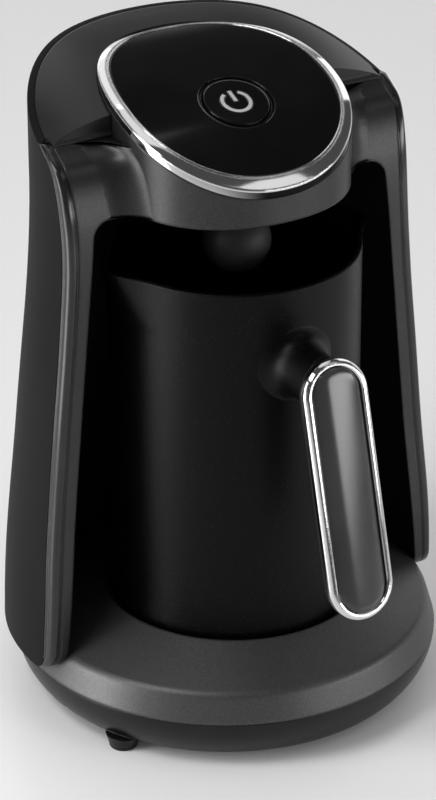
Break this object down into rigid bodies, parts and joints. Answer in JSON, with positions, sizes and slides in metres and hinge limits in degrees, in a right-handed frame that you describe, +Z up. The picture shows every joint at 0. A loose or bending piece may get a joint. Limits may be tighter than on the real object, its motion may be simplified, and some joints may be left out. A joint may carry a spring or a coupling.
{
  "type": "electric turkish coffee maker",
  "caption": "Electric Turkish coffee maker: round base, tapering C-shaped column, overhanging head with one button, and a cordless coated pot.",
  "frame": {"origin": "on the table plane under the feet, midway between the handle's front and the cord gland's rear, 7.4 mm in front of the axis of the round base", "axes": "+Z up, -Y to the front where the pot stands, +X to the right seen from the front"},
  "size_m": [0.1498, 0.1703, 0.2175],
  "materials": {
    "base_paint": "satin metallic paint, dark grey",
    "tray_plastic": "fine satin, near black",
    "foot_rubber": "smooth rubber",
    "screw_steel": "zinc plated",
    "connector_plastic": "heat-resistant moulding",
    "contact_brass": "plain brass",
    "circuit_board": "green solder mask",
    "component_plastic": "moulded component cases",
    "panel_plastic": "fine matt texture, dark grey",
    "rim_gloss": "polished edge",
    "hood_plastic": "satin, dark grey",
    "shell_paint": "satin metallic paint, dark grey",
    "chrome": "polished plating",
    "panel_gloss": "piano black",
    "icon_white": "translucent white",
    "led_lens": "clear diffuse",
    "sensor_gloss": "dark smoked lens",
    "loom_sleeve": "braided sleeve",
    "pot_coating": "speckled non-stick coating",
    "heater_aluminium": "plain",
    "inlay_gloss": "polished, dark grey",
    "core_plastic": "fine satin"
  },
  "bodies": {
    "housing": {"base_screws": "screw_steel", "base_top_cover": "base_paint", "base_tray": "tray_plastic", "board_screws": "screw_steel", "button_bezel": "panel_gloss", "button_led_left": "led_lens", "button_led_right": "led_lens", "buzzer": "component_plastic", "chrome_ring": "chrome", "column_screws": "screw_steel", "connector_inner_ring": "contact_brass", "connector_outer_ring": "contact_brass", "connector_pin": "contact_brass", "connector_post": "connector_plastic", "control_board": "circuit_board", "cord_gland": "connector_plastic", "foot_pad_1": "foot_rubber", "foot_pad_2": "foot_rubber", "foot_pad_3": "foot_rubber", "foot_pad_4": "foot_rubber", "front_shell": "shell_paint", "head_underside": "shell_paint", "power_board": "circuit_board", "power_relay": "component_plastic", "rear_shell": "panel_plastic", "sensor_board": "circuit_board", "sensor_dome": "sensor_gloss", "sensor_nut": "connector_plastic", "side_panel_left": "panel_plastic", "side_panel_right": "panel_plastic", "side_rim_left": "rim_gloss", "side_rim_right": "rim_gloss", "tact_switch_body": "component_plastic", "terminal_block": "connector_plastic", "top_hood": "hood_plastic", "top_panel": "panel_gloss", "wiring_loom": "loom_sleeve"},
    "pot": {"pot_shell": "pot_coating", "pot_bottom_cap": "pot_coating", "pot_connector": "connector_plastic", "pot_contact_inner": "contact_brass", "pot_contact_outer": "contact_brass", "heater_plate": "heater_aluminium", "heater_element": "heater_aluminium", "thermostat": "heater_aluminium", "handle_neck": "pot_coating", "handle_core": "core_plastic", "handle_frame": "chrome", "handle_inlay": "inlay_gloss", "handle_screws": "screw_steel"},
    "button": {"power_button": "panel_gloss", "power_icon": "icon_white"},
    "switch_plunger": {"tact_switch_plunger": "icon_white"}
  },
  "joints": [
    {"name": "pot_lift", "type": "slide", "parent": "housing", "child": "pot", "axis": [0, 0, 1], "range_m": [0, 0.01]},
    {"name": "power_button_press", "type": "slide", "parent": "housing", "child": "button", "axis": [0, 0.3379, -0.9412], "range_m": [0, 0.0006], "stiffness_N_per_m": 2500, "springref_m": -0.0004},
    {"name": "switch_plunger_travel", "type": "slide", "parent": "housing", "child": "switch_plunger", "axis": [0, 0.3379, -0.9412], "range_m": [0, 0.0006]}
  ],
  "couplings": [
    {"joint": "switch_plunger_travel", "follows": "power_button_press", "ratio": 1}
  ]
}
